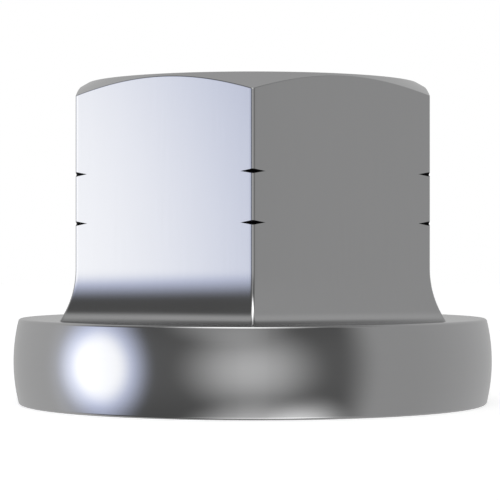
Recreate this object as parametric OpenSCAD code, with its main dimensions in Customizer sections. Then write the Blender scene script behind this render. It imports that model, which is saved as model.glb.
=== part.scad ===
// Collar nut: a tall hexagon nut with a wide round collar under it, turned and milled from
// one piece of steel. Millimetres. The bearing face lies on z = 0, the thread's axis is Z,
// and one corner of the hexagon points along -Y, so the flats are measured along X.

/* [Thread] */
// Nominal diameter of the thread
thread_d = 10; // [8:0.5:11]
// Pitch of the thread
thread_pitch = 1.5; // [0.75:0.25:2]
// How much wider than the thread the countersink is at each end of the hole
sink_extra = 0.8; // [0.2:0.1:1.6]
// Included angle of the two countersinks
sink_angle = 120; // [90:5:130]

/* [Hexagon] */
// Width across the flats
across_flats = 16; // [14:0.25:17]
// Height of the whole nut, collar and hexagon
nut_h = 15; // [12:0.5:20]
// How far the rim of the flat top lies inside the flats
chamfer_inset = 0.22; // [0.05:0.01:0.6]
// Slope of the top chamfer, down from the horizontal
chamfer_angle = 30; // [15:1:45]
// How far each corner edge is turned back from its sharp point
corner_break = 0.04; // [0.01:0.01:0.15]

/* [Hollow above the collar] */
// Radius of the hollow that runs from each flat out onto the collar
hollow_r = 4.3; // [3.4:0.1:8]
// Height at which the hollow leaves the flat, above the top of the collar
hollow_h = 2.35; // [1:0.05:2.8]

/* [Collar] */
// Diameter of the collar at its upper and lower rims
collar_d = 22; // [21:0.25:28]
// Height of the collar
collar_h = 4; // [3:0.25:6]
// How far the side of the collar bulges at half its height
collar_crown = 0.25; // [0.05:0.05:0.6]
// Rounding of the collar's two rims
rim_r = 0.15; // [0.05:0.05:0.4]

/* [Corner grooves] */
// Number of grooves that cross the corners
groove_count = 2; // [1:1:3]
// Distance from one groove to the next
groove_pitch = 2.22; // [1:0.05:2.4]
// Depth of a groove, in from the corner edge
groove_depth = 0.25; // [0.1:0.05:0.5]
// Width of a groove where it opens at the corner edge
groove_w = 0.18; // [0.1:0.02:0.6]

/* [Hidden] */
$fn = 96;
// Cuts run past the faces that they open by this much
past = 1;
// Number of straight steps along a corner edge where it sweeps outwards
sweep_steps = 10;

// Distance from the axis to a flat, and from the axis to a sharp corner
flat_x = across_flats / 2;
corner_ratio = 2 / sqrt(3);

// A metric thread's inner diameter lies five eighths of the sharp profile's height inside it
thread_flank_h = sqrt(3) / 2 * thread_pitch;
hole_d = thread_d - 2 * 5 / 8 * thread_flank_h;
sink_d = thread_d + sink_extra;
sink_depth = (sink_d - hole_d) / 2 / tan(sink_angle / 2);

top_r = flat_x - chamfer_inset;
hollow_top = collar_h + hollow_h;
groove_mid = (collar_h + nut_h) / 2;

// How far out from its flat the hollow has run at height z
function hollow_out(z) = hollow_r - sqrt(pow(hollow_r, 2) - pow(max(hollow_top - z, 0), 2));

// Radius of the broken corner edge at height z
function edge_r(z) = (flat_x + hollow_out(z)) * corner_ratio - corner_break;

// Profile of the collar: a shallow bulge between two rounded rims
module collar_profile() {
    half_h = collar_h / 2;
    bulge_r = (pow(half_h, 2) + pow(collar_crown, 2)) / (2 * collar_crown);
    bulge_x = collar_d / 2 + collar_crown - bulge_r;
    // A rim's round touches both the bulge and the flat face beside it
    touch_a = asin((half_h - rim_r) / (bulge_r - rim_r));
    round_x = bulge_x + (bulge_r - rim_r) * cos(touch_a);
    touch_z = half_h - bulge_r * sin(touch_a);
    square([round_x, collar_h]);
    for (z = [rim_r, collar_h - rim_r])
        translate([round_x, z]) circle(r = rim_r);
    intersection() {
        translate([bulge_x, half_h]) circle(r = bulge_r);
        translate([round_x / 2, touch_z]) square([collar_d, collar_h - 2 * touch_z]);
    }
}

module collar() {
    rotate_extrude() collar_profile();
}

// What the lathe leaves: the top chamfer, and corner edges that follow the hollow outwards.
// The last step of the sweep ends as far above the hollow as the step before it starts below.
module turned_body() {
    edge_top = edge_r(hollow_top);
    chamfer_h = (edge_top - top_r) * tan(chamfer_angle);
    step_h = hollow_h / sweep_steps;
    rotate_extrude()
        polygon(concat(
            [[0, collar_h / 2], [edge_r(collar_h), collar_h / 2]],
            [for (i = [0:sweep_steps - 1]) let (z = collar_h + i * step_h) [edge_r(z), z]],
            [[edge_top, hollow_top + step_h]],
            [[edge_top, nut_h - chamfer_h], [top_r, nut_h], [0, nut_h]]
        ));
}

// What is milled away at one flat: a straight side that ends below in a round hollow
module flat_cut() {
    rotate([90, 0, 0])
        linear_extrude(height = 2 * collar_d, center = true) {
            translate([flat_x, hollow_top]) square([collar_d, nut_h]);
            translate([flat_x + hollow_r, hollow_top]) circle(r = hollow_r);
        }
}

module hexagon() {
    difference() {
        turned_body();
        for (side = [0:5])
            rotate([0, 0, 60 * side]) flat_cut();
    }
}

// One groove: a ring with a pointed inner edge, which reaches the corners and misses the flats
module corner_groove() {
    edge = edge_r(hollow_top);
    root = edge - groove_depth;
    outer = edge + past;
    half_w = groove_w / 2 * (outer - root) / groove_depth;
    rotate_extrude() polygon([[root, 0], [outer, -half_w], [outer, half_w]]);
}

module corner_grooves() {
    for (i = [0:groove_count - 1])
        translate([0, 0, groove_mid + (i - (groove_count - 1) / 2) * groove_pitch]) corner_groove();
}

// The hole at the thread's inner diameter, with a countersink at each end
module threaded_hole() {
    translate([0, 0, -past]) cylinder(d = hole_d, h = nut_h + 2 * past);
    for (end = [0, 1])
        translate([0, 0, end * nut_h]) mirror([0, 0, end])
            cylinder(d1 = sink_d, d2 = hole_d, h = sink_depth);
}

module collar_nut() {
    color([0.58, 0.59, 0.6])
    difference() {
        union() {
            collar();
            hexagon();
        }
        corner_grooves();
        threaded_hole();
    }
}

collar_nut();
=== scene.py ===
"""Collar nut: a tall hexagon nut with a wide round collar, turned and milled from one piece.

The whole nut is one closed skin, made of bands that a Geometry Nodes tree lays round the axis.
"""

import math
from typing import NamedTuple

import bpy
from bpy.props import FloatProperty, FloatVectorProperty, PointerProperty
from bpy.types import Operator, Panel, PropertyGroup
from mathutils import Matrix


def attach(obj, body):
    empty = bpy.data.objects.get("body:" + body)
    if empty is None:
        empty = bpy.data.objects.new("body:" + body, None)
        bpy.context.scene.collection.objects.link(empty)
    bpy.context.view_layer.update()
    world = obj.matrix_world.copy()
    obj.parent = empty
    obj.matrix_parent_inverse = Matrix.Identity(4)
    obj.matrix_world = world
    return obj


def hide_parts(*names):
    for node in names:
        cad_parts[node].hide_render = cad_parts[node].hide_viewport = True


bl_info = {
    "name": "Collar nut",
    "version": (1, 0, 0),
    "blender": (4, 5, 0),
    "location": "View3D > Sidebar > Collar nut",
    "description": "Makes a steel collar nut with a left-hand thread, and the studio it stands in",
    "category": "Object",
}

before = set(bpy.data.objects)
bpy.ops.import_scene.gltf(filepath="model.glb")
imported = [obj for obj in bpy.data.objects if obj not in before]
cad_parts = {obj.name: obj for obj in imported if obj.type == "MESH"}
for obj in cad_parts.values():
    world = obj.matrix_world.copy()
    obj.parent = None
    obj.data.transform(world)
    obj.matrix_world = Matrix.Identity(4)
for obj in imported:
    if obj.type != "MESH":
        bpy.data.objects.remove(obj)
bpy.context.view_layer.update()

MM = 0.001
BODY = "root"
CAD_NODE = "collar_nut"

# Columns of the skin. Those of one side of the hexagon run from the middle of its flat to the
# tip of a groove, on to where the corner's round starts, and half way round the corner
SIDES = 6
HALF_SIDE_ANGLE = math.pi / SIDES
FLAT_STEPS = 10
GROOVE_STEPS = 6
ROUND_STEPS = 4
HALF_SIDE = FLAT_STEPS + GROOVE_STEPS + ROUND_STEPS
SIDE_COLUMNS = 2 * HALF_SIDE
COLUMNS = SIDES * SIDE_COLUMNS

# Rows of faces in each kind of band, and in one pitch of the thread
FACE_ROWS = 3
RIM_ROWS = 10
BULGE_ROWS = 24
HOLLOW_ROWS = 20
FLAT_ROWS = 6
TOP_FLAT_ROWS = 8
EDGE_ROWS = 4
CHAMFER_ROWS = 4
THREAD_ROWS = 16

MERGE_GAP = 0.001 * MM
SHARP_ANGLE = math.radians(24)

# Widths of the narrow bands beside a round, which keep the face next to it evenly shaded
SUPPORT = 0.02 * MM
HOLLOW_SUPPORT = 0.1 * MM

# Added before a whole number is taken, so that a rounding error can't give the one below it
NUDGE = 1 / 64

# Shares of one thread pitch: flat at the crest, flat at the root, and each flank between them
CREST_SHARE = 1 / 4
ROOT_SHARE = 1 / 8
FLANK_SHARE = (1 - CREST_SHARE - ROOT_SHARE) / 2

# Depth of a metric thread for one of pitch: five eighths of the height of its sharp profile
THREAD_DEPTH = 5 / 8 * math.sqrt(3) / 2

# Finishes of the skin's bands, kept on the faces while the tree builds them. The grooves' finish is
# painted shade
TURNED, MILLED, GROOVE, THREAD = range(4)


def mm_property(name, description, default, low, high):
    """A length that a user can set, given here in millimetres."""
    return FloatProperty(
        name=name,
        description=description,
        default=default * MM,
        min=low * MM,
        max=high * MM,
        subtype="DISTANCE",
        unit="LENGTH",
    )


def angle_property(name, description, default, low, high):
    """An angle that a user can set, given here in degrees."""
    return FloatProperty(
        name=name,
        description=description,
        default=math.radians(default),
        min=math.radians(low),
        max=math.radians(high),
        subtype="ANGLE",
    )


def share_property(name, description, default):
    return FloatProperty(
        name=name, description=description, default=default, min=0, max=1, subtype="FACTOR"
    )


def colour_property(name, description, default):
    return FloatVectorProperty(
        name=name, description=description, default=default, min=0, max=1, subtype="COLOR", size=3
    )


class NutSizes(PropertyGroup):
    """Sizes of the collar nut"""

    across_flats: mm_property(
        "Across flats", "Width of the hexagon from flat to flat", 16, 14, 17
    )
    height: mm_property("Height", "Height of the whole nut", 15, 12, 20)
    corner_round: mm_property(
        "Corner round", "Radius of the six corner edges", 0.155, 0.05, 0.5
    )
    chamfer_inset: mm_property(
        "Chamfer inset", "How far the top face's rim lies inside the flats", 0.22, 0.05, 0.6
    )
    chamfer_angle: angle_property(
        "Chamfer angle", "Slope of the top chamfer, down from the horizontal", 30, 15, 45
    )
    edge_break: mm_property(
        "Edge break", "Radius of the fine round between the chamfer and the flats", 0.06, 0.01, 0.1
    )
    hollow_radius: mm_property(
        "Hollow radius", "Radius of the hollow from each flat out to the collar", 4.35, 3.4, 8
    )
    hollow_height: mm_property(
        "Hollow height", "Where the hollow leaves the flat, above the collar", 2.36, 1, 2.8
    )
    collar_diameter: mm_property(
        "Collar diameter", "Diameter of the collar at its rims", 21.98, 21, 28
    )
    collar_height: mm_property("Collar height", "Height of the collar", 4, 3, 6)
    collar_crown: mm_property(
        "Collar crown", "How far the collar's side bulges at half its height", 0.25, 0.05, 0.6
    )
    rim_radius: mm_property("Rim radius", "Rounding of the collar's rims", 0.15, 0.05, 0.4)
    groove_pitch: mm_property(
        "Groove pitch", "Distance between the two corner grooves", 2.22, 1, 2.4
    )
    groove_depth: mm_property(
        "Groove depth", "Depth of a groove, in from the corner edge", 0.275, 0.1, 0.5
    )
    groove_width: mm_property(
        "Groove width", "Width of a groove at the corner edge", 0.2, 0.1, 0.6
    )
    thread_diameter: mm_property(
        "Thread diameter", "Nominal diameter of the thread", 10, 8, 11
    )
    thread_pitch: mm_property("Thread pitch", "Pitch of the left-hand thread", 1.5, 0.75, 2)
    sink_extra: mm_property(
        "Countersink", "How much wider than the thread each countersink opens", 0.8, 0.2, 1.6
    )
    sink_angle: angle_property(
        "Countersink angle", "Included angle of the two countersinks", 120, 90, 130
    )


class SteelLook(PropertyGroup):
    """Colour and gloss of the bare steel"""

    colour: colour_property("Steel colour", "Colour of the bare steel", (0.62, 0.622, 0.626))
    roughness: share_property("Roughness", "How matt the machined faces are", 0.12)
    grain: share_property("Grain", "Strength of the fine tool marks", 0.04)


class StudioLook(PropertyGroup):
    """The floor and the light round the nut"""

    floor_colour: colour_property("Floor colour", "Colour of the plain floor", (0.82, 0.82, 0.82))
    floor_glow: share_property("Floor glow", "Light added to the floor where it is seen", 0.66)
    tent_radius: mm_property(
        "Tent radius", "Radius of the light tent round the nut", 600, 300, 2000
    )
    camera_distance: mm_property(
        "Camera distance", "Distance of the camera from the nut's axis", 102.1, 50, 500
    )
    camera_height: mm_property(
        "Camera height", "Height of the level camera above the floor", 7.2, 0, 100
    )


class Num:
    """A number in a node tree, which adds, multiplies and divides as a plain number does."""

    def __init__(self, bench, socket):
        self.bench = bench
        self.socket = socket

    def __add__(self, other):
        return self.bench.math("ADD", self, other)

    def __radd__(self, other):
        return self.bench.math("ADD", other, self)

    def __sub__(self, other):
        return self.bench.math("SUBTRACT", self, other)

    def __rsub__(self, other):
        return self.bench.math("SUBTRACT", other, self)

    def __mul__(self, other):
        return self.bench.math("MULTIPLY", self, other)

    def __rmul__(self, other):
        return self.bench.math("MULTIPLY", other, self)

    def __truediv__(self, other):
        return self.bench.math("DIVIDE", self, other)

    def __rtruediv__(self, other):
        return self.bench.math("DIVIDE", other, self)

    def __neg__(self):
        return 0.0 - self

    def __abs__(self):
        return self.function("ABSOLUTE")

    def function(self, name, *others):
        return self.bench.math(name, self, *others)

    def sqrt(self):
        return self.function("SQRT")

    def sin(self):
        return self.function("SINE")

    def cos(self):
        return self.function("COSINE")

    def tan(self):
        return self.function("TANGENT")

    def arcsin(self):
        return self.function("ARCSINE")

    def at_least(self, low):
        return self.function("MAXIMUM", low)

    def at_most(self, high):
        return self.function("MINIMUM", high)

    def is_below(self, limit):
        """1 where the number is below the limit, and 0 elsewhere."""
        return self.function("LESS_THAN", limit)


class Bench:
    """Adds nodes to a tree in tidy columns, with a titled frame round each group of them."""

    COLUMN_WIDTH = 180
    ROW_HEIGHT = 170
    ROWS = 8

    # The Mix node keeps its colour sockets behind those for plain numbers and vectors
    MIX_SHARE, MIX_FIRST, MIX_SECOND, MIX_RESULT = 0, 6, 7, 2

    def __init__(self, tree):
        self.tree = tree
        self.title_frame = None
        self.placed = 0
        self.left = 0

    def title(self, text):
        """Starts a new titled group of nodes to the right of the last one."""
        self.left += (self.placed // self.ROWS + 2) * self.COLUMN_WIDTH
        self.placed = 0
        self.title_frame = self.tree.nodes.new("NodeFrame")
        self.title_frame.label = text

    def add(self, kind, **settings):
        node = self.tree.nodes.new(kind)
        for name, value in settings.items():
            setattr(node, name, value)
        column, row = divmod(self.placed, self.ROWS)
        node.location = (self.left + column * self.COLUMN_WIDTH, -row * self.ROW_HEIGHT)
        node.parent = self.title_frame
        self.placed += 1
        return node

    def feed(self, socket, value):
        """Gives a socket its value, which is a Num, another socket or a plain number."""
        if isinstance(value, Num):
            self.tree.links.new(value.socket, socket)
        elif isinstance(value, bpy.types.NodeSocket):
            self.tree.links.new(value, socket)
        else:
            socket.default_value = value

    def math(self, operation, *values, clamp=False):
        node = self.add("ShaderNodeMath", operation=operation, use_clamp=clamp)
        for socket, value in zip(node.inputs, values):
            self.feed(socket, value)
        return Num(self, node.outputs[0])

    def share(self, value):
        """Clamps a number to 0 to 1."""
        return self.math("ADD", value, 0.0, clamp=True)

    def blend(self, low, high, share):
        return low + (high - low) * share

    def vector(self, *values):
        node = self.add("ShaderNodeCombineXYZ")
        for socket, value in zip(node.inputs, values):
            self.feed(socket, value)
        return node.outputs[0]

    def parts(self, vector):
        """The three numbers that a vector holds."""
        node = self.add("ShaderNodeSeparateXYZ")
        self.feed(node.inputs[0], vector)
        return [Num(self, socket) for socket in node.outputs]

    def soft_step(self, value, start, end):
        """Goes from 0 at the start to 1 at the end, softly at both."""
        node = self.add("ShaderNodeMapRange", interpolation_type="SMOOTHSTEP")
        self.feed(node.inputs["Value"], value)
        self.feed(node.inputs["From Min"], start)
        self.feed(node.inputs["From Max"], end)
        return Num(self, node.outputs[0])

    def mix_colours(self, share, first, second):
        node = self.add("ShaderNodeMix", data_type="RGBA")
        self.feed(node.inputs[self.MIX_SHARE], share)
        self.feed(node.inputs[self.MIX_FIRST], (*first, 1))
        self.feed(node.inputs[self.MIX_SECOND], (*second, 1))
        return node.outputs[self.MIX_RESULT]


class NutSkin:
    """The nut's skin in a Geometry Nodes tree: bands from the bearing face round to the thread."""

    def __init__(self, tree):
        self.tree = tree
        self.bench = Bench(tree)
        self.bands = []

    def read_sizes(self, names):
        """Makes one named input for each size."""
        self.bench.title("Sizes")
        group_input = self.bench.add("NodeGroupInput")
        for name in names:
            self.tree.interface.new_socket(
                name=name, in_out="INPUT", socket_type="NodeSocketFloat"
            )
        sockets = {socket.name: socket for socket in group_input.outputs}
        return {name: Num(self.bench, sockets[name]) for name in names}

    def lay_out_columns(self, size):
        """Finds where each column lies on its side of the hexagon, by its place in a flat grid."""
        bench = self.bench
        bench.title("Place in the grid")
        grid_x, grid_y, _ = bench.parts(bench.add("GeometryNodeInputPosition").outputs[0])
        self.along = grid_y + 0.5
        column = ((grid_x + 0.5) * COLUMNS).function("ROUND")
        side = (column / SIDE_COLUMNS + NUDGE).function("FLOOR")
        from_middle = column - side * SIDE_COLUMNS - HALF_SIDE
        steps_out = abs(from_middle)
        hand = from_middle.function("SIGN")
        angle = side * (2 * HALF_SIDE_ANGLE)
        self.side_cos = angle.cos()
        self.side_sin = angle.sin()

        bench.title("Place on the side")
        self.apothem = size["across_flats"] / 2
        self.corner_round = size["corner_round"]
        inner = self.apothem - self.corner_round
        corner_radius = inner * (1 / math.cos(HALF_SIDE_ANGLE)) + self.corner_round
        self.groove_root = corner_radius - size["groove_depth"]
        groove_tip = (self.groove_root * self.groove_root - self.apothem * self.apothem).sqrt()
        tip_share = groove_tip / (inner * math.tan(HALF_SIDE_ANGLE))
        to_groove = bench.share(steps_out / FLAT_STEPS)
        to_round = bench.share((steps_out - FLAT_STEPS) / GROOVE_STEPS)
        round_share = bench.share((steps_out - FLAT_STEPS - GROOVE_STEPS) / ROUND_STEPS)
        self.flat_share = hand * (tip_share * to_groove + (1.0 - tip_share) * to_round)
        turn = round_share * HALF_SIDE_ANGLE
        self.round_out = self.corner_round * turn.cos()
        self.round_along = hand * (self.corner_round * turn.sin())

        bench.title("Outline at the flats")
        self.outline_x, self.outline_y, self.outline_radius = self.outline(self.apothem)
        self.direction_x = self.outline_x / self.outline_radius
        self.direction_y = self.outline_y / self.outline_radius
        out, along = self.place_on_side(self.apothem)
        angle_on_side = bench.math("ARCTAN2", along, out)
        self.turns = (side + 0.5 + angle_on_side / (2 * HALF_SIDE_ANGLE)) / SIDES

    def place_on_side(self, apothem):
        """How far a column lies out from the axis and along its side of the hexagon."""
        inner = apothem - self.corner_round
        along = self.flat_share * (inner * math.tan(HALF_SIDE_ANGLE)) + self.round_along
        return inner + self.round_out, along

    def outline(self, apothem):
        """The hexagon with rounded corners, at one distance from the axis to a flat."""
        out, along = self.place_on_side(apothem)
        x = out * self.side_cos - along * self.side_sin
        y = out * self.side_sin + along * self.side_cos
        return x, y, (out * out + along * along).sqrt()

    def ring(self, radius, height):
        return self.direction_x * radius, self.direction_y * radius, height

    def on_outline(self, height, shrink=1.0):
        """A ring on the upright flats, or nearer the axis by a share."""
        return self.outline_x * shrink, self.outline_y * shrink, height

    def between(self, low_ring, high_ring):
        blend = self.bench.blend
        return tuple(blend(low, high, self.along) for low, high in zip(low_ring, high_ring))

    def band(self, rows, place, finish):
        """Lays one grid of faces along the given place and marks its finish."""
        bench = self.bench
        grid = bench.add("GeometryNodeMeshGrid")
        bench.feed(grid.inputs["Size X"], 1.0)
        bench.feed(grid.inputs["Size Y"], 1.0)
        bench.feed(grid.inputs["Vertices X"], COLUMNS + 1)
        bench.feed(grid.inputs["Vertices Y"], rows + 1)
        moved = bench.add("GeometryNodeSetPosition")
        bench.feed(moved.inputs["Geometry"], grid.outputs["Mesh"])
        bench.feed(moved.inputs["Position"], bench.vector(*place))
        marked = bench.add("GeometryNodeStoreNamedAttribute", data_type="INT", domain="FACE")
        bench.feed(marked.inputs["Geometry"], moved.outputs["Geometry"])
        bench.feed(marked.inputs["Name"], "finish")
        bench.feed(marked.inputs["Value"], finish)
        self.bands.append(marked.outputs["Geometry"])

    def arc_band(self, rows, centre, radius, start, end):
        """A turned band along an arc, from one angle to another. Its centre is (radius, height)."""
        angle = self.bench.blend(start, end, self.along)
        centre_radius, centre_height = centre
        place = self.ring(
            centre_radius + radius * angle.cos(), centre_height + radius * angle.sin()
        )
        self.band(rows, place, TURNED)

    def hollow(self, size, depth_share):
        """A flat's hollow at a share of the way down it: how far from the axis, and its drop."""
        radius = size["hollow_radius"]
        angle = (size["hollow_height"] / radius).arcsin() * depth_share
        return self.apothem + radius * (1.0 - angle.cos()), radius * angle.sin()

    def lay_collar(self, size):
        """The bearing face, the barrel-shaped side with its two rims, and the top of the collar."""
        bench = self.bench
        bench.title("Profile of the collar")
        top = size["collar_height"]
        half = top / 2
        crown = size["collar_crown"]
        rim = size["rim_radius"]
        bulge = (half * half + crown * crown) / (2.0 * crown)
        bulge_x = size["collar_diameter"] / 2 + crown - bulge
        # Each rim's round touches the bulge at this angle above or below the level
        touch = ((half - rim) / (bulge - rim)).arcsin()
        rim_x = bulge_x + (bulge - rim) * touch.cos()
        near_rim_x = rim_x - SUPPORT
        self.sink_radius = (size["thread_diameter"] + size["sink_extra"]) / 2

        bench.title("Bearing face")
        near_rim = self.ring(near_rim_x, 0.0)
        self.band(FACE_ROWS, self.between(self.ring(self.sink_radius, 0.0), near_rim), TURNED)
        self.band(1, self.between(near_rim, self.ring(rim_x, 0.0)), TURNED)

        bench.title("Side of the collar")
        step = SUPPORT / bulge
        quarter_turn = math.pi / 2
        self.arc_band(RIM_ROWS, (rim_x, rim), rim, -quarter_turn, -touch)
        self.arc_band(1, (bulge_x, half), bulge, -touch, step - touch)
        self.arc_band(BULGE_ROWS, (bulge_x, half), bulge, step - touch, touch - step)
        self.arc_band(1, (bulge_x, half), bulge, touch - step, touch)
        self.arc_band(RIM_ROWS, (rim_x, top - rim), rim, touch, quarter_turn)

        bench.title("Top of the collar")
        foot_x, foot_y, _ = self.outline(self.hollow(size, 1.0)[0])
        near_rim = self.ring(near_rim_x, top)
        self.band(1, self.between(self.ring(rim_x, top), near_rim), TURNED)
        self.band(FACE_ROWS, self.between(near_rim, (foot_x, foot_y, top)), TURNED)

    def lay_hexagon(self, size):
        """The hollows, the flats with their corner grooves, the chamfer and the top face."""
        bench = self.bench
        bench.title("Hollows above the collar")
        hollow_top = size["collar_height"] + size["hollow_height"]
        apothem, drop = self.hollow(size, 1.0 - self.along)
        x, y, _ = self.outline(apothem)
        self.band(HOLLOW_ROWS, (x, y, hollow_top - drop), MILLED)

        bench.title("Flats and corner grooves")
        middle = (size["collar_height"] + size["height"]) / 2
        cut = (self.outline_radius - self.groove_root).at_least(0.0)
        half_width = cut * (size["groove_width"] / 2 / size["groove_depth"])
        shrink = 1.0 - cut / self.outline_radius
        reached = self.on_outline(hollow_top + HOLLOW_SUPPORT)
        self.band(1, self.between(self.on_outline(hollow_top), reached), MILLED)
        for from_middle in (-0.5, 0.5):
            height = middle + size["groove_pitch"] * from_middle
            lower_lip = self.on_outline(height - half_width)
            root = self.on_outline(height, shrink)
            upper_lip = self.on_outline(height + half_width)
            self.band(FLAT_ROWS, self.between(reached, lower_lip), MILLED)
            self.band(1, self.between(lower_lip, root), GROOVE)
            self.band(1, self.between(root, upper_lip), GROOVE)
            reached = upper_lip

        bench.title("Top of the flats")
        slope = size["chamfer_angle"].tan()
        top_radius = self.apothem - size["chamfer_inset"]
        edge_break = size["edge_break"]
        full_turn = math.pi / 2 - size["chamfer_angle"]
        edge_height = size["height"] - (self.outline_radius - top_radius) * slope
        round_start = edge_height - edge_break * (full_turn / 2).tan()
        near_edge = self.on_outline(round_start - SUPPORT)
        self.band(TOP_FLAT_ROWS, self.between(reached, near_edge), MILLED)
        self.band(1, self.between(near_edge, self.on_outline(round_start)), MILLED)

        bench.title("Edge between flats and chamfer")
        turn = full_turn * self.along
        round_radius = self.outline_radius - edge_break * (1.0 - turn.cos())
        round_place = self.ring(round_radius, round_start + edge_break * turn.sin())
        self.band(EDGE_ROWS, round_place, TURNED)

        bench.title("Chamfer")

        def on_cone(radius):
            return self.ring(radius, edge_height + (self.outline_radius - radius) * slope)

        cone_start = self.outline_radius - edge_break * (1.0 - full_turn.cos())
        near_cone = on_cone(cone_start - SUPPORT)
        rim = self.ring(top_radius, size["height"])
        self.band(1, self.between(on_cone(cone_start), near_cone), TURNED)
        self.band(CHAMFER_ROWS, self.between(near_cone, rim), TURNED)

        bench.title("Top face")
        sink_rim = self.ring(self.sink_radius, size["height"])
        self.band(FACE_ROWS, self.between(rim, sink_rim), TURNED)

    def lay_thread(self, size, turns_over_height):
        """The bore, whose rows climb one pitch in a turn, so that they follow the thread."""
        bench = self.bench
        rows = THREAD_ROWS * (turns_over_height + 1)
        bench.title("Thread form")
        pitch = size["thread_pitch"]
        row = ((1.0 - self.along) * rows).function("ROUND")
        phase = (row / THREAD_ROWS + NUDGE).function("FRACT") - NUDGE
        # The root lies in the middle of a pitch, and a flank on either side of it
        from_root = phase - 0.5
        crest_start = 0.5 - CREST_SHARE / 2
        depth = bench.share((crest_start - abs(from_root)) / FLANK_SHARE)
        major = size["thread_diameter"] / 2
        minor = major - pitch * THREAD_DEPTH
        cut_radius = minor + (major - minor) * depth

        bench.title("Bore")
        sink_slope = 1.0 / (size["sink_angle"] / 2).tan()
        row_height = pitch / THREAD_ROWS
        height = row_height * row - pitch * self.turns
        sink_depth = (self.sink_radius - cut_radius) * sink_slope
        # A row that comes near the edge of a countersink is put right on it, which keeps that edge
        # sharp. On the flank that faces the countersink, the gap to its edge changes twice as fast
        # from row to row, so rows are caught from twice as far
        flank_middle = crest_start - FLANK_SHARE / 2
        half_flank = FLANK_SHARE / 2 + 0.5 / THREAD_ROWS
        ends = ((sink_depth, -flank_middle), (size["height"] - sink_depth, flank_middle))
        for edge_height, facing_flank in ends:
            is_facing = abs(from_root - facing_flank).is_below(half_flank)
            is_near = abs(height - edge_height).is_below(row_height * (1.0 + is_facing) / 2)
            height = bench.blend(height, edge_height, is_near)
        height = height.at_least(0.0).at_most(size["height"])
        low_sink = self.sink_radius - height / sink_slope
        high_sink = self.sink_radius - (size["height"] - height) / sink_slope
        radius = cut_radius.at_least(low_sink).at_least(high_sink)
        self.band(rows, self.ring(radius, height), THREAD)
        split = bench.add("GeometryNodeTriangulate", quad_method="FIXED_ALTERNATE")
        bench.feed(split.inputs["Mesh"], self.bands[-1])
        self.bands[-1] = split.outputs[0]

    def join(self):
        """Joins the bands into one closed skin, smooth but for its sharp edges."""
        bench = self.bench
        bench.title("Join the bands")
        joined = bench.add("GeometryNodeJoinGeometry")
        for geometry in self.bands:
            bench.feed(joined.inputs[0], geometry)
        merged = bench.add("GeometryNodeMergeByDistance")
        bench.feed(merged.inputs["Geometry"], joined.outputs[0])
        bench.feed(merged.inputs["Distance"], MERGE_GAP)
        smooth = bench.add("GeometryNodeSetShadeSmooth", domain="FACE")
        bench.feed(smooth.inputs["Geometry"], merged.outputs[0])
        edge_angle = bench.add("GeometryNodeInputMeshEdgeAngle").outputs["Unsigned Angle"]
        crisp = bench.add("GeometryNodeSetShadeSmooth", domain="EDGE")
        bench.feed(crisp.inputs["Geometry"], smooth.outputs[0])
        bench.feed(crisp.inputs["Selection"], bench.math("GREATER_THAN", edge_angle, SHARP_ANGLE))
        bench.feed(crisp.inputs["Shade Smooth"], False)
        return crisp.outputs[0]

    def finish(self, geometry, materials):
        """Gives each band the material of its finish and puts the skin out."""
        bench = self.bench
        bench.title("Finish")
        realized = bench.add("GeometryNodeRealizeInstances")
        bench.feed(realized.inputs[0], geometry)
        geometry = realized.outputs[0]
        attribute = bench.add("GeometryNodeInputNamedAttribute", data_type="INT")
        bench.feed(attribute.inputs["Name"], "finish")
        band_finish = Num(bench, attribute.outputs["Attribute"])
        for number, material in enumerate(materials):
            painted = bench.add("GeometryNodeSetMaterial")
            bench.feed(painted.inputs["Geometry"], geometry)
            bench.feed(painted.inputs["Material"], material)
            if number != TURNED:
                is_this = abs(band_finish - number).is_below(0.5)
                bench.feed(painted.inputs["Selection"], is_this)
            geometry = painted.outputs[0]
        self.tree.interface.new_socket(
            name="Nut", in_out="OUTPUT", socket_type="NodeSocketGeometry"
        )
        bench.feed(bench.add("NodeGroupOutput").inputs[0], geometry)


def size_names():
    return list(NutSizes.__annotations__)


def nut_tree(materials, turns_over_height):
    """The tree that makes the whole nut from its sizes."""
    tree = bpy.data.node_groups.new("Collar nut skin", "GeometryNodeTree")
    skin = NutSkin(tree)
    size = skin.read_sizes(size_names())
    skin.lay_out_columns(size)
    skin.lay_collar(size)
    skin.lay_hexagon(size)
    skin.lay_thread(size, turns_over_height)
    skin.finish(skin.join(), materials)
    return tree


def made_with_nodes(name, tree, values):
    """Makes a plain mesh object from a tree, with the tree's inputs set by their identifiers."""
    empty_mesh = bpy.data.meshes.new(name)
    piece = bpy.data.objects.new(name, empty_mesh)
    bpy.context.scene.collection.objects.link(piece)
    shape = piece.modifiers.new("Shape", "NODES")
    shape.node_group = tree
    for item in tree.interface.items_tree:
        if item.in_out == "INPUT":
            shape[item.identifier] = values[item.name]
    depsgraph = bpy.context.evaluated_depsgraph_get()
    evaluated = piece.evaluated_get(depsgraph)
    mesh = bpy.data.meshes.new_from_object(evaluated, depsgraph=depsgraph)
    piece.modifiers.remove(shape)
    piece.data = mesh
    bpy.data.meshes.remove(empty_mesh)
    mesh.name = name
    for slot in reversed(range(len(mesh.materials))):
        if mesh.materials[slot] is None:
            mesh.materials.pop(index=slot)
    return piece


def new_material(name):
    """A material with an empty node tree, and the bench to fill it on."""
    material = bpy.data.materials.new(name)
    material.use_nodes = True
    material.node_tree.nodes.clear()
    return material, Bench(material.node_tree)


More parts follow.
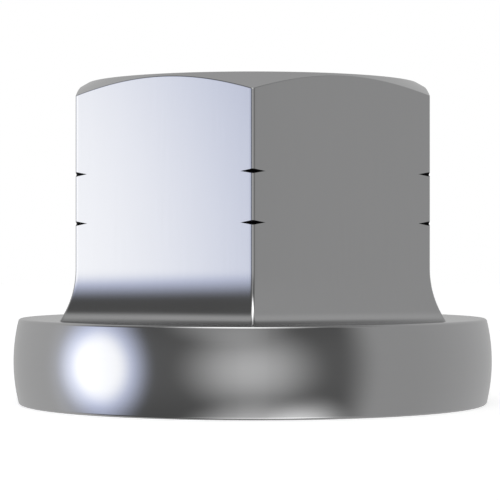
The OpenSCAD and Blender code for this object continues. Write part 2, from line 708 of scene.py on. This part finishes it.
class Paint:
    """A material's node tree, with the few nodes that every finish of the nut starts from."""

    BUMP_DEPTH = 0.004 * MM

    def __init__(self, name, colour, roughness, metallic=1.0):
        self.material, self.bench = new_material(name)
        self.colour = colour
        self.material.diffuse_color = (*colour, 1)
        self.bench.title("Surface")
        output = self.bench.add("ShaderNodeOutputMaterial")
        self.shader = self.bench.add("ShaderNodeBsdfPrincipled")
        self.bench.feed(self.shader.inputs["Base Color"], (*colour, 1))
        self.bench.feed(self.shader.inputs["Metallic"], metallic)
        self.bench.feed(self.shader.inputs["Roughness"], roughness)
        self.bench.feed(output.inputs["Surface"], self.shader.outputs[0])
        self.bench.title("Place on the nut")
        self.place = self.bench.add("ShaderNodeTexCoord").outputs["Object"]

    def turned_place(self, fine, coarse):
        """A place for marks that run round the axis: radius and height fine, angle coarse."""
        x, y, z = self.bench.parts(self.place)
        radius = (x * x + y * y).sqrt()
        return self.bench.vector(radius * fine, z * fine, x / radius * coarse)

    def scaled_place(self, x, y, z):
        mapping = self.bench.add("ShaderNodeMapping")
        self.bench.feed(mapping.inputs["Vector"], self.place)
        self.bench.feed(mapping.inputs["Scale"], (x, y, z))
        return mapping.outputs[0]

    def noise(self, place, detail):
        node = self.bench.add("ShaderNodeTexNoise")
        self.bench.feed(node.inputs["Vector"], place)
        self.bench.feed(node.inputs["Scale"], 1.0)
        self.bench.feed(node.inputs["Detail"], detail)
        return Num(self.bench, node.outputs[0])

    def marks(self, place):
        """Fine tool marks."""
        return self.noise(place, detail=2.0)

    def haze(self, scale):
        """Soft clouds, the same in every direction."""
        return self.noise(self.scaled_place(scale, scale, scale), detail=3.0)

    def vary_colour(self, pattern, amount):
        """Lets the colour swing a little darker and lighter with a pattern."""
        darker = tuple(value * (1 - amount) for value in self.colour)
        lighter = tuple(min(1, value * (1 + amount)) for value in self.colour)
        mixed = self.bench.mix_colours(pattern, darker, lighter)
        self.bench.feed(self.shader.inputs["Base Color"], mixed)

    def vary_roughness(self, pattern, low, high):
        node = self.bench.add("ShaderNodeMapRange")
        self.bench.feed(node.inputs["Value"], pattern)
        self.bench.feed(node.inputs["To Min"], low)
        self.bench.feed(node.inputs["To Max"], high)
        self.bench.feed(self.shader.inputs["Roughness"], node.outputs[0])

    def bump(self, height, strength):
        node = self.bench.add("ShaderNodeBump")
        self.bench.feed(node.inputs["Height"], height)
        self.bench.feed(node.inputs["Strength"], strength)
        self.bench.feed(node.inputs["Distance"], self.BUMP_DEPTH)
        self.bench.feed(self.shader.inputs["Normal"], node.outputs[0])


# Scales of the patterns, in cycles for each metre: tool marks about a tenth of a millimetre apart
MARK_SCALE = 9000
LONG_MARK_SCALE = 300
THREAD_MARK_SCALE = 7000
TURNED_HAZE_SCALE = 260
MILLED_HAZE_SCALE = 240
THREAD_HAZE_SCALE = 500
# Scale of the faint clouds in the grooves' painted shade
GROOVE_SHADE_SCALE = 5000

# How often the marks of a cut that runs round the axis change on their way round
ROUND_MARKS = 3
ROUND_THREAD_MARKS = 2

# How far the machined steel's colour and roughness swing to either side
COLOUR_SWING = 0.03
ROUGHNESS_SWING = 0.02

THREAD_SHADE = 0.82
THREAD_GRAIN = 0.15
# Near-black inside the corner grooves: painted shade in the recess
GROOVE_SHADE_COLOUR = (0.006, 0.006, 0.007)


def machined_steel(name, look, marks_place, haze_scale):
    """Bare steel with the marks that a tool leaves along one direction."""
    paint = Paint(name, tuple(look.colour), look.roughness)
    paint.bench.title("Tool marks")
    marks = paint.marks(marks_place(paint))
    haze = paint.haze(haze_scale)
    paint.vary_colour(haze * 0.5 + marks * 0.5, COLOUR_SWING)
    low_roughness = look.roughness - ROUGHNESS_SWING
    paint.vary_roughness(haze, low_roughness, look.roughness + ROUGHNESS_SWING)
    paint.bump(marks, look.grain)
    return paint.material


def turned_steel(look):
    """Faces cut on the lathe: fine marks run round the axis."""

    def round_the_axis(paint):
        return paint.turned_place(MARK_SCALE, ROUND_MARKS)

    return machined_steel("turned_steel", look, round_the_axis, TURNED_HAZE_SCALE)


def milled_steel(look):
    """Flats, hollows and corners: fine marks run up and down."""

    def up_and_down(paint):
        return paint.scaled_place(MARK_SCALE, MARK_SCALE, LONG_MARK_SCALE)

    return machined_steel("milled_steel", look, up_and_down, MILLED_HAZE_SCALE)


def groove_shade_paint():
    """The corner grooves are black inside: painted shade, a near-black colour that stands in for
    the dark of the deep narrow recess.
    """
    # Painted shade: a dull, nearly black colour put inside the grooves
    paint = Paint("groove_black", GROOVE_SHADE_COLOUR, roughness=0.6, metallic=0.0)
    paint.bench.title("Oxide")
    haze = paint.haze(GROOVE_SHADE_SCALE)
    paint.vary_colour(haze, amount=0.3)
    paint.vary_roughness(haze, low=0.5, high=0.7)
    return paint.material


def thread_steel(look):
    """The cut thread: a little darker and duller than the outside, with marks along the cut."""
    colour = tuple(THREAD_SHADE * value for value in look.colour)
    paint = Paint("thread_steel", colour, look.roughness + 0.1)
    paint.bench.title("Cutting marks")
    marks = paint.marks(paint.turned_place(THREAD_MARK_SCALE, ROUND_THREAD_MARKS))
    haze = paint.haze(THREAD_HAZE_SCALE)
    paint.vary_colour(haze * 0.4 + marks * 0.6, amount=0.08)
    paint.vary_roughness(haze, low=look.roughness + 0.05, high=look.roughness + 0.16)
    paint.bump(marks, THREAD_GRAIN)
    return paint.material


class NUT_OT_make_nut(Operator):
    """Make the collar nut with its thread, in place of the plain solid"""

    bl_idname = "collar_nut.make_nut"
    bl_label = "Make the nut"

    def execute(self, context):
        sizes = context.scene.nut_sizes
        look = context.scene.steel_look
        values = {name: getattr(sizes, name) for name in size_names()}
        # In the order of the finishes; the grooves get painted shade
        materials = [turned_steel(look), milled_steel(look), groove_shade_paint(), thread_steel(look)]
        turns_over_height = math.ceil(sizes.height / sizes.thread_pitch)
        tree = nut_tree(materials, turns_over_height)
        nut = made_with_nodes("collar_nut_steel", tree, values)
        if not nut.data.polygons:
            raise RuntimeError("The nut's tree made no faces.")
        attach(nut, BODY)
        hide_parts(CAD_NODE)
        return {"FINISHED"}


WHITE = (1, 1, 1)
PALE_BLUE = (0.68, 0.745, 1.0)


class Lamp(NamedTuple):
    """A soft light of the tent: an oval on its cloth, with its angles in degrees.

    The azimuth is 0 on the camera's side and grows to the right. The core is the share of the
    oval that is evenly bright, and the rim's colour is what the light falls off to.
    """

    name: str
    azimuth: float
    elevation: float
    half_width: float
    half_height: float
    core: float
    brightness: float
    rim_colour: tuple = WHITE


LAMPS = (
    Lamp("Side light", -75.8, -1.2, 30.8, 32.0, 0.32, 1.43, PALE_BLUE),
    Lamp("Side wing", -89.0, -4.0, 26.5, 38.0, 0.15, 0.27, PALE_BLUE),
    Lamp("Front light", -1.1, -1.0, 39.4, 32.0, 0.03, 0.52),
    Lamp("Key light", -8.0, 51.0, 57.0, 22.0, 0.15, 2.3),
    Lamp("Key glow", -13.0, 29.0, 38.0, 18.0, 0.3, 0.225),
    Lamp("Low light", 3.0, -47.4, 52.0, 31.5, 0.15, 0.98),
    Lamp("Low glint", 29.0, -42.4, 29.0, 28.0, 0.15, 0.85),
)
OVAL_INPUTS = (
    "Azimuth",
    "Elevation",
    "Middle azimuth",
    "Middle elevation",
    "Half width",
    "Half height",
    "Core",
)

# Shares of a lamp's full light between which its colour goes from the rim's to white
TINT_EDGE = (0.55, 1.1)

# Brightness of the cloth: dark in front, paler at the sides, and brighter again behind
FRONT_CLOTH = 0.13
RIGHT_CLOTH = 0.385
LEFT_CLOTH = 0.49
BACK_GAIN = 0.1

# Azimuths in degrees between which the cloth changes on its way round
RIGHT_EDGE = (40.0, 62.0)
BACK_EDGE = (76.0, 150.0)
LEFT_EDGE = (-82.0, -108.0)

# The front loses a share of its light between these heights in degrees, above and below level
OFF_LEVEL_EDGE = (6.0, 32.0)
OFF_LEVEL_LOSS = 0.24

# Higher up, all of the cloth loses a little
HIGH_EDGE = (38.0, 52.0)
HIGH_LOSS = 0.1

# High up on the front half, a pale ring runs round under a dark ceiling
RING_CLOTH = 0.46
RING_EDGE = (38.2, 43.4)
CEILING_CLOTH = 0.1
CEILING_EDGE = (46.0, 49.0)
FRONT_HALF_EDGE = (91.0, 84.0)

# Between these azimuths on either side, ring and ceiling come down by this much a degree
RING_SLANT = 0.3
SLANT_START = 66.0
SLANT_END = 92.0


def soft_oval_group():
    """A shader group: 1 in the middle of an oval on the tent, falling softly to 0 at its rim."""
    tree = bpy.data.node_groups.new("Soft oval", "ShaderNodeTree")
    for name in OVAL_INPUTS:
        tree.interface.new_socket(name=name, in_out="INPUT", socket_type="NodeSocketFloat")
    tree.interface.new_socket(name="Share", in_out="OUTPUT", socket_type="NodeSocketFloat")
    bench = Bench(tree)
    bench.title("Distance from the middle")
    group_input = bench.add("NodeGroupInput")
    value = {name: Num(bench, group_input.outputs[name]) for name in OVAL_INPUTS}
    across = (value["Azimuth"] - value["Middle azimuth"]) / value["Half width"]
    up = (value["Elevation"] - value["Middle elevation"]) / value["Half height"]
    distance = (across * across + up * up).sqrt()
    share = bench.soft_step(distance, 1.0, value["Core"])
    bench.feed(bench.add("NodeGroupOutput").inputs[0], share)
    return tree


def cloth_brightness(bench, azimuth, elevation):
    """How bright the tent's cloth is without its lamps."""
    bench.title("Cloth")
    off_level = bench.soft_step(abs(elevation), *OFF_LEVEL_EDGE)
    front = FRONT_CLOTH * (1.0 - OFF_LEVEL_LOSS * off_level)
    right = bench.soft_step(azimuth, *RIGHT_EDGE)
    back = bench.soft_step(azimuth, *BACK_EDGE)
    left = bench.soft_step(azimuth, *LEFT_EDGE)
    cloth = front + right * (RIGHT_CLOTH - front) + back * BACK_GAIN + left * (LEFT_CLOTH - front)
    cloth = cloth * (1.0 - HIGH_LOSS * bench.soft_step(elevation, *HIGH_EDGE))

    bench.title("Ring and ceiling")
    off_front = abs(azimuth)
    front_half = bench.soft_step(off_front, *FRONT_HALF_EDGE)
    past_middle = off_front.at_least(SLANT_START).at_most(SLANT_END) - (SLANT_START + SLANT_END) / 2
    slanted = elevation + RING_SLANT * past_middle
    in_ring = bench.soft_step(slanted, *RING_EDGE) * front_half
    in_ceiling = bench.soft_step(slanted, *CEILING_EDGE) * front_half
    cloth = bench.blend(cloth, RING_CLOTH, in_ring)
    return bench.blend(cloth, CEILING_CLOTH, in_ceiling)


def tent_material():
    """The glowing cloth of the light tent, with its soft lights and the darker part in front."""
    material, bench = new_material("light_tent")
    bench.title("Direction")
    normalised = bench.add("ShaderNodeVectorMath", operation="NORMALIZE")
    bench.feed(normalised.inputs[0], bench.add("ShaderNodeTexCoord").outputs["Object"])
    x, y, z = bench.parts(normalised.outputs[0])
    azimuth = bench.math("ARCTAN2", x, -y) * math.degrees(1)
    elevation = z.arcsin() * math.degrees(1)
    cloth = cloth_brightness(bench, azimuth, elevation)
    colour = bench.vector(cloth, cloth, cloth)
    oval = soft_oval_group()
    for lamp in LAMPS:
        bench.title(lamp.name)
        group = bench.add("ShaderNodeGroup", node_tree=oval)
        place = (lamp.azimuth, lamp.elevation, lamp.half_width, lamp.half_height, lamp.core)
        for name, value in zip(OVAL_INPUTS, (azimuth, elevation, *place)):
            bench.feed(group.inputs[name], value)
        share = Num(bench, group.outputs[0])
        tint = bench.mix_colours(bench.soft_step(share, *TINT_EDGE), lamp.rim_colour, WHITE)
        strength = share * lamp.brightness
        lit = bench.add("ShaderNodeVectorMath", operation="MULTIPLY_ADD")
        factors = (tint, bench.vector(strength, strength, strength), colour)
        for socket, value in zip(lit.inputs, factors):
            bench.feed(socket, value)
        colour = lit.outputs[0]
    bench.title("Glow")
    emission = bench.add("ShaderNodeEmission")
    bench.feed(emission.inputs["Color"], colour)
    output = bench.add("ShaderNodeOutputMaterial")
    bench.feed(output.inputs["Surface"], emission.outputs[0])
    return material


def floor_material(colour, glow):
    """A plain pale floor that shows white to the camera and still takes the nut's shadow."""
    material, bench = new_material("pale_floor")
    bench.title("Floor")
    diffuse = bench.add("ShaderNodeBsdfDiffuse")
    bench.feed(diffuse.inputs["Color"], (*colour, 1))
    ray = bench.add("ShaderNodeLightPath").outputs
    seen = Num(bench, ray["Is Camera Ray"]) + Num(bench, ray["Is Glossy Ray"])
    seen = bench.share(seen + Num(bench, ray["Is Transmission Ray"]))
    emission = bench.add("ShaderNodeEmission")
    bench.feed(emission.inputs["Strength"], seen * glow)
    both = bench.add("ShaderNodeAddShader")
    bench.feed(both.inputs[0], diffuse.outputs[0])
    bench.feed(both.inputs[1], emission.outputs[0])
    output = bench.add("ShaderNodeOutputMaterial")
    bench.feed(output.inputs["Surface"], both.outputs[0])
    return material


def tent_mesh(radius, rings=24, segments=48):
    """A round tent whose faces point inwards."""
    verts = [(0, 0, radius)]
    for ring in range(1, rings):
        polar = math.pi * ring / rings
        ring_radius = radius * math.sin(polar)
        height = radius * math.cos(polar)
        for segment in range(segments):
            turn = 2 * math.pi * segment / segments
            verts.append((ring_radius * math.cos(turn), ring_radius * math.sin(turn), height))
    verts.append((0, 0, -radius))
    last = len(verts) - 1
    last_ring = last - segments
    faces = []
    for segment in range(segments):
        after = (segment + 1) % segments
        faces.append((0, 1 + after, 1 + segment))
        for upper in range(1, last_ring, segments):
            lower = upper + segments
            faces.append((upper + segment, upper + after, lower + after, lower + segment))
        faces.append((last, last_ring + segment, last_ring + after))
    mesh = bpy.data.meshes.new("light_tent")
    mesh.from_pydata(verts, [], faces)
    return mesh


def floor_mesh(half):
    corners = [(-half, -half, 0), (half, -half, 0), (half, half, 0), (-half, half, 0)]
    mesh = bpy.data.meshes.new("floor")
    mesh.from_pydata(corners, [], [(0, 1, 2, 3)])
    return mesh


def staged(mesh, material):
    """Puts a mesh in the scene as part of the stage, under its own name."""
    mesh.materials.append(material)
    piece = bpy.data.objects.new(mesh.name, mesh)
    bpy.context.scene.collection.objects.link(piece)
    return piece


# Half the floor's width, as a share of the tent's radius
FLOOR_SHARE = 0.55

# The camera: a long lens that looks level at the nut, a hair to the left of its axis
LENS_LENGTH = 155.5
SENSOR_WIDTH = 36
CAMERA_X = -0.125 * MM
CLIP_START = 0.001
CLIP_END = 10


def placed_camera(distance, height):
    lens = bpy.data.cameras.new("camera")
    lens.lens = LENS_LENGTH
    lens.sensor_width = SENSOR_WIDTH
    lens.clip_start = CLIP_START
    lens.clip_end = CLIP_END
    camera = bpy.data.objects.new("camera", lens)
    camera.location = (CAMERA_X, -distance, height)
    camera.rotation_euler = (math.pi / 2, 0, 0)
    bpy.context.scene.collection.objects.link(camera)
    return camera


def white_world():
    world = bpy.data.worlds.new("white_backdrop")
    world.use_nodes = True
    background = world.node_tree.nodes["Background"]
    background.inputs["Color"].default_value = (*WHITE, 1)
    background.inputs["Strength"].default_value = 1
    return world


class NUT_OT_set_stage(Operator):
    """Lay the floor, put up the light tent and place the camera"""

    bl_idname = "collar_nut.set_stage"
    bl_label = "Set the stage"

    def execute(self, context):
        scene = context.scene
        studio = scene.studio_look
        paint = floor_material(studio.floor_colour, studio.floor_glow)
        floor = staged(floor_mesh(FLOOR_SHARE * studio.tent_radius), paint)
        floor.visible_glossy = False
        tent = staged(tent_mesh(studio.tent_radius), tent_material())
        tent.visible_camera = False
        scene.world = white_world()
        scene.camera = placed_camera(studio.camera_distance, studio.camera_height)
        scene.view_settings.view_transform = "Standard"
        return {"FINISHED"}


class NUT_PT_panel(Panel):
    """Lists the sizes, the finish and the steps that make the nut"""

    bl_label = "Collar nut"
    bl_idname = "NUT_PT_panel"
    bl_space_type = "VIEW_3D"
    bl_region_type = "UI"
    bl_category = "Collar nut"

    def draw(self, context):
        layout = self.layout
        scene = context.scene
        for group in (scene.nut_sizes, scene.steel_look, scene.studio_look):
            box = layout.box()
            for name in group.__annotations__:
                box.prop(group, name)
        layout.operator(NUT_OT_make_nut.bl_idname)
        layout.operator(NUT_OT_set_stage.bl_idname)


CLASSES = (NutSizes, SteelLook, StudioLook, NUT_OT_make_nut, NUT_OT_set_stage, NUT_PT_panel)


def register():
    for cls in CLASSES:
        bpy.utils.register_class(cls)
    bpy.types.Scene.nut_sizes = PointerProperty(type=NutSizes)
    bpy.types.Scene.steel_look = PointerProperty(type=SteelLook)
    bpy.types.Scene.studio_look = PointerProperty(type=StudioLook)


def unregister():
    del bpy.types.Scene.studio_look
    del bpy.types.Scene.steel_look
    del bpy.types.Scene.nut_sizes
    for cls in reversed(CLASSES):
        bpy.utils.unregister_class(cls)


def main():
    register()
    bpy.ops.collar_nut.make_nut()
    bpy.ops.collar_nut.set_stage()


if __name__ == "__main__":
    main()
